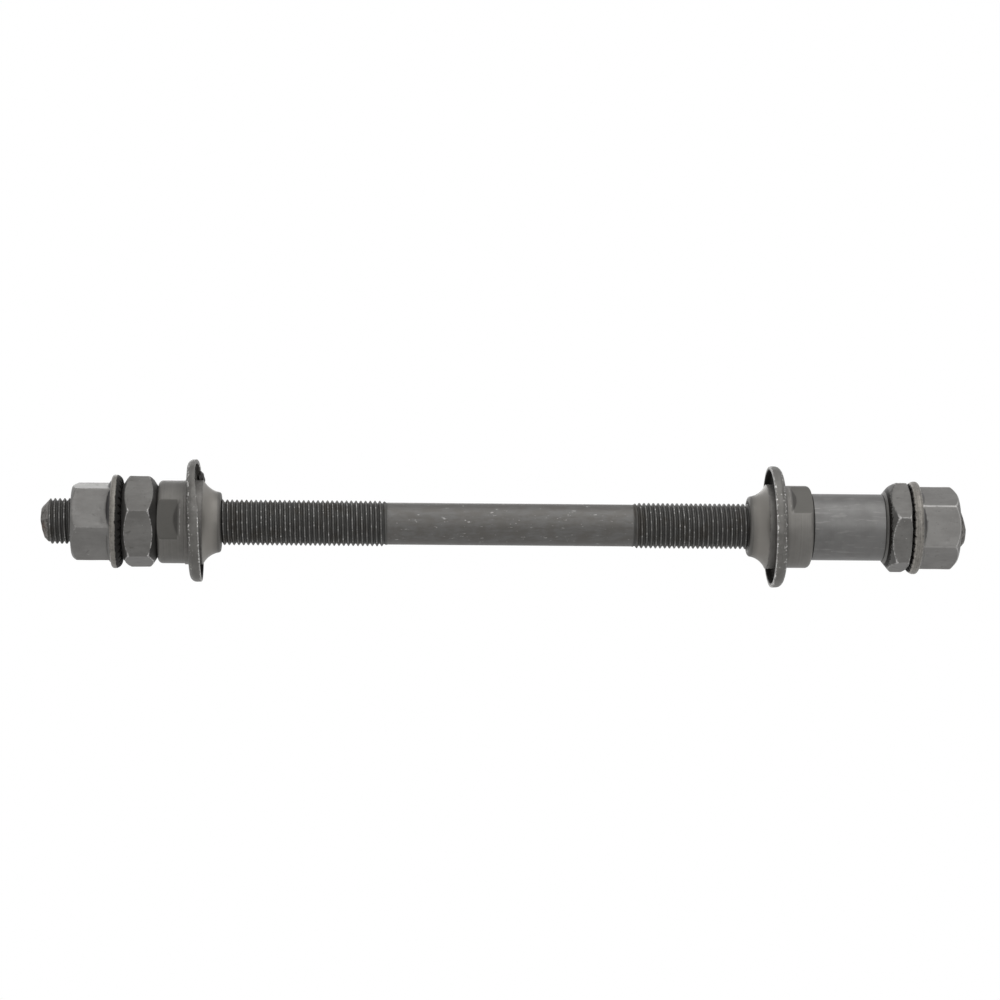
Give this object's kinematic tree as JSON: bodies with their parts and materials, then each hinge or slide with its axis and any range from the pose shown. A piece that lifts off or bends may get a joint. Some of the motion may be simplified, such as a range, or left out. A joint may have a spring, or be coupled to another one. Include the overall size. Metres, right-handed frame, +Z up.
{
  "type": "bicycle hub axle",
  "caption": "Threaded steel bicycle hub axle set with bearing cones, dust caps, lock nuts, a spacer tube and flanged axle nuts with toothed washers.",
  "frame": {"origin": "middle of the axle's length, on its centre line", "axes": "+X along the axle towards the end that carries the spacer tube, +Z up"},
  "size_m": [0.19, 0.0252, 0.0255],
  "materials": {
    "axle": "black oxide steel, rolled thread, a little rust on the left tip",
    "axle_nut": "dark grey phosphate steel, slightly worn corners",
    "washer": "dark grey phosphate steel, brownish bright rim",
    "lock_nut": "dark grey phosphate steel, bright worn corners",
    "cone": "dark grey phosphate steel, smoother ground race",
    "dust_cap": "dark grey phosphate sheet steel, bright specks along the rim",
    "spacer": "dark grey phosphate steel tube, faint scuffs"
  },
  "bodies": {
    "axle": {"axle": "axle"},
    "left_washer": {"left_washer": "washer"},
    "left_axle_nut": {"left_axle_nut": "axle_nut"},
    "left_dust_cap": {"left_dust_cap": "dust_cap"},
    "left_cone": {"left_cone": "cone"},
    "left_lock_nut": {"left_lock_nut": "lock_nut"},
    "spacer": {"spacer": "spacer"},
    "right_cone": {"right_cone": "cone", "right_dust_cap": "dust_cap"},
    "right_lock_nut": {"right_lock_nut": "lock_nut"},
    "right_washer": {"right_washer": "washer"},
    "right_axle_nut": {"right_axle_nut": "axle_nut"}
  },
  "joints": [
    {"name": "left_washer_travel", "type": "slide", "parent": "axle", "child": "left_washer", "axis": [-1, 0, 0], "range_m": [0, 0.0137]},
    {"name": "left_nut_turn", "type": "hinge", "parent": "left_washer", "child": "left_axle_nut", "pos_m": [-0.085, 0, 0], "axis": [-1, 0, 0], "range_deg": [0, 5040]},
    {"name": "left_cap_travel", "type": "slide", "parent": "axle", "child": "left_dust_cap", "axis": [1, 0, 0], "range_m": [0, 0.03226]},
    {"name": "left_cone_turn", "type": "hinge", "parent": "left_dust_cap", "child": "left_cone", "pos_m": [-0.065, 0, 0], "axis": [1, 0, 0], "range_deg": [0, 11880]},
    {"name": "left_lock_nut_turn", "type": "hinge", "parent": "left_dust_cap", "child": "left_lock_nut", "pos_m": [-0.075, 0, 0], "axis": [1, 0, 0], "range_deg": [0, 11880]},
    {"name": "spacer_travel", "type": "slide", "parent": "axle", "child": "spacer", "axis": [-1, 0, 0], "range_m": [0, 0.02249]},
    {"name": "right_cone_turn", "type": "hinge", "parent": "spacer", "child": "right_cone", "pos_m": [0.056, 0, 0], "axis": [-1, 0, 0], "range_deg": [0, 8280]},
    {"name": "right_lock_nut_turn", "type": "hinge", "parent": "spacer", "child": "right_lock_nut", "pos_m": [0.081, 0, 0], "axis": [-1, 0, 0], "range_deg": [0, 8280]},
    {"name": "right_washer_travel", "type": "slide", "parent": "axle", "child": "right_washer", "axis": [1, 0, 0], "range_m": [0, 0.00881]},
    {"name": "right_nut_turn", "type": "hinge", "parent": "right_washer", "child": "right_axle_nut", "pos_m": [0.09, 0, 0], "axis": [1, 0, 0], "range_deg": [0, 3240]}
  ],
  "couplings": [
    {"joint": "left_washer_travel", "follows": "left_nut_turn", "m_per_rad": 0.00015548},
    {"joint": "left_cap_travel", "follows": "left_cone_turn", "m_per_rad": 0.00015548},
    {"joint": "left_lock_nut_turn", "follows": "left_cone_turn", "ratio": 1},
    {"joint": "spacer_travel", "follows": "right_cone_turn", "m_per_rad": 0.00015548},
    {"joint": "right_lock_nut_turn", "follows": "right_cone_turn", "ratio": 1},
    {"joint": "right_washer_travel", "follows": "right_nut_turn", "m_per_rad": 0.00015548}
  ]
}
